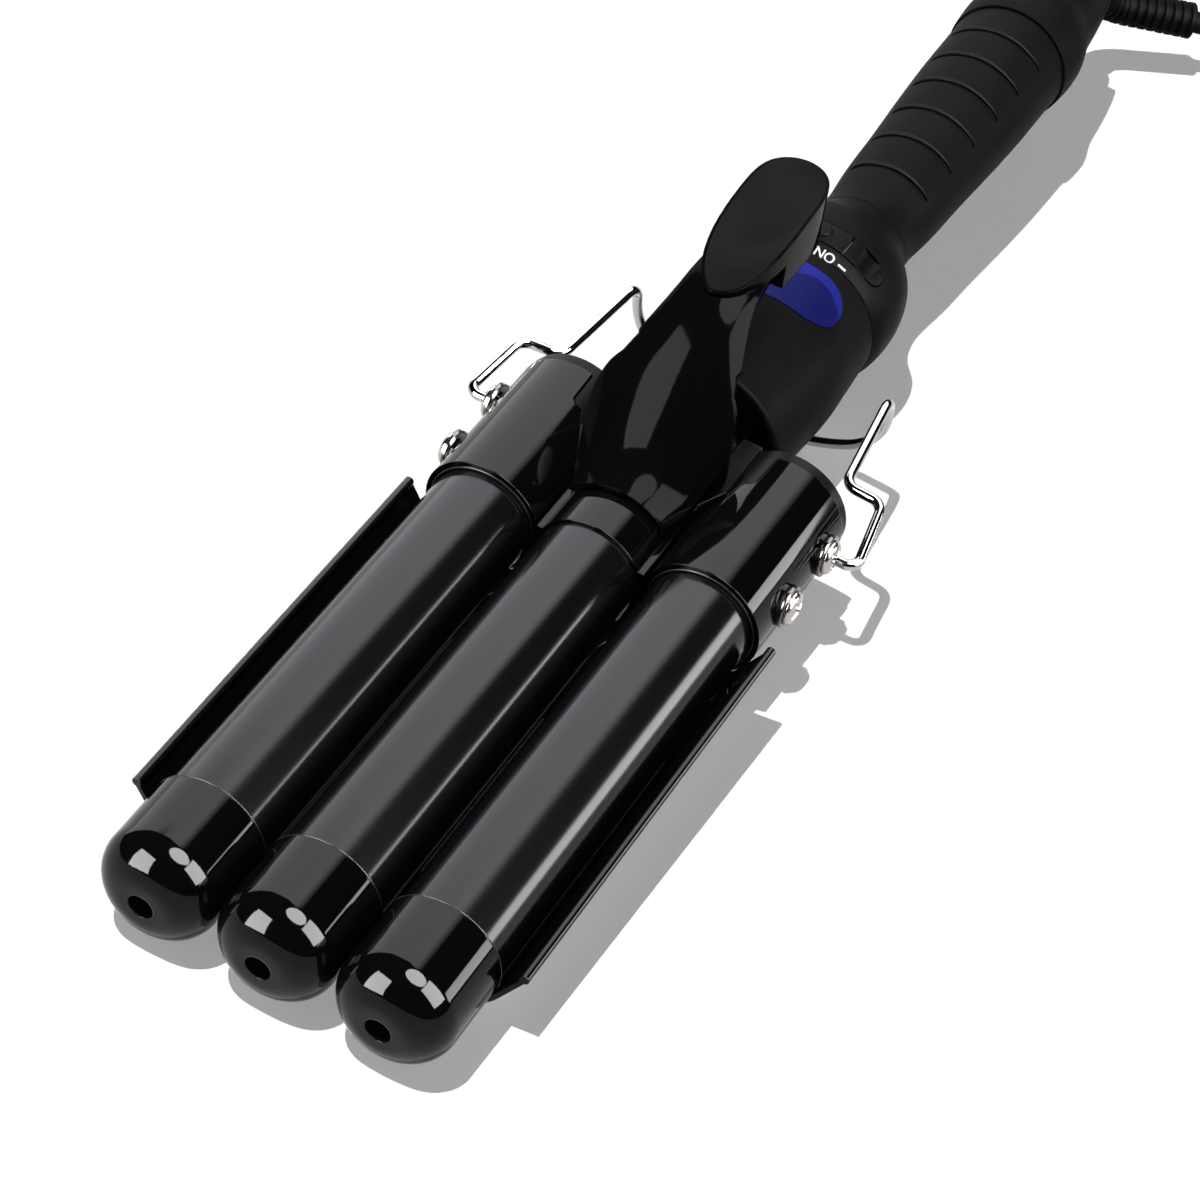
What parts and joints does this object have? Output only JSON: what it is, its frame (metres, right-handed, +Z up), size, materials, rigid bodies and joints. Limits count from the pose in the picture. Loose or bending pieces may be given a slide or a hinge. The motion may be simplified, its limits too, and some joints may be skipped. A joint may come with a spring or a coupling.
{
  "type": "hair waver",
  "caption": "Hair waver: parallel heated barrels in a sprung clamp with thumb lever, guard plate, wire stand, display window, push buttons and a round grooved handle.",
  "frame": {"origin": "centre of the tool's footprint on the table, without the cord", "axes": "+Z up, +Y from the barrels' caps towards the tail, +X across the barrels to the plus-X barrel"},
  "size_m": [0.2108, 0.4519, 0.0791],
  "materials": {
    "barrel_coating": "satin ceramic coating",
    "matte_black": "fine matte",
    "gloss_black": "high gloss",
    "guard_coating": "gloss coating",
    "spreader_alloy": "extruded",
    "heater_ceramic": "unglazed",
    "nickel": "polished nickel",
    "black_washer": "black oxide",
    "chrome_wire": "polished",
    "steel": "zinc plated",
    "spring_steel": "drawn",
    "window_blue": "clear over a blue display",
    "display_grey": "moulded",
    "board_green": "solder mask",
    "lead_insulation": "silicone",
    "cord_rubber": "matte",
    "blade_metal": "plated"
  },
  "bodies": {
    "handle": {"barrel_middle": "barrel_coating", "cap_middle": "matte_black", "heat_spreader_middle": "spreader_alloy", "ceramic_heater_middle": "heater_ceramic", "middle_sleeve": "gloss_black", "middle_core": "heater_ceramic", "temperature_sensor": "steel", "thermal_fuse": "steel", "middle_leads": "lead_insulation", "guard_plate": "guard_coating", "guard_spacers": "steel", "guard_screws": "steel", "hinge_spring": "spring_steel", "drum_shell": "matte_black", "drum_screw": "steel", "display_window": "window_blue", "display_module": "display_grey", "control_board": "board_green", "board_parts": "display_grey", "control_collar": "matte_black", "switch_carrier": "display_grey", "tact_switches": "display_grey", "grip_shell": "matte_black", "tail_shell": "matte_black", "mains_leads": "lead_insulation", "swivel_ball": "matte_black", "strain_relief": "cord_rubber", "power_cord": "cord_rubber", "cord_coil": "cord_rubber", "plug_lead": "cord_rubber", "plug_body": "cord_rubber", "plug_blades": "blade_metal"},
    "upper_jaw": {"yoke": "matte_black", "hinge_pin": "steel", "outer_leads": "lead_insulation", "thumb_lever": "gloss_black", "thumb_pad": "matte_black", "front_side_screws": "nickel", "pivot_bushes": "nickel", "screw_washers": "black_washer", "barrel_left": "barrel_coating", "cap_left": "matte_black", "heat_spreader_left": "spreader_alloy", "ceramic_heater_left": "heater_ceramic", "outer_sleeve_left": "gloss_black", "barrel_right": "barrel_coating", "cap_right": "matte_black", "heat_spreader_right": "spreader_alloy", "ceramic_heater_right": "heater_ceramic", "outer_sleeve_right": "gloss_black"},
    "stand": {"wire_stand": "chrome_wire"},
    "plus_key": {"button_plus": "matte_black"},
    "power_key": {"button_power": "matte_black"},
    "minus_key": {"button_minus": "matte_black"}
  },
  "joints": [
    {"name": "jaw_hinge", "type": "hinge", "parent": "handle", "child": "upper_jaw", "pos_m": [0, -0.03449, 0.02242], "axis": [-1, 0, 0], "range_deg": [0, 18], "stiffness_Nm_per_rad": 0.8, "springref_deg": -20.05, "deforming": ["hinge_spring"]},
    {"name": "stand_hinge", "type": "hinge", "parent": "upper_jaw", "child": "stand", "pos_m": [0, -0.04097, 0.02391], "axis": [-1, 0, 0], "range_deg": [0, 90]},
    {"name": "plus_key_press", "type": "slide", "parent": "handle", "child": "plus_key", "axis": [0.575, 0.0404, -0.8172], "range_m": [0, 0.0004], "stiffness_N_per_m": 1500, "springref_m": -0.0004},
    {"name": "power_key_press", "type": "slide", "parent": "handle", "child": "power_key", "axis": [0, 0.0494, -0.9988], "range_m": [0, 0.0004], "stiffness_N_per_m": 1500, "springref_m": -0.0004},
    {"name": "minus_key_press", "type": "slide", "parent": "handle", "child": "minus_key", "axis": [-0.575, 0.0404, -0.8172], "range_m": [0, 0.0004], "stiffness_N_per_m": 1500, "springref_m": -0.0004}
  ]
}
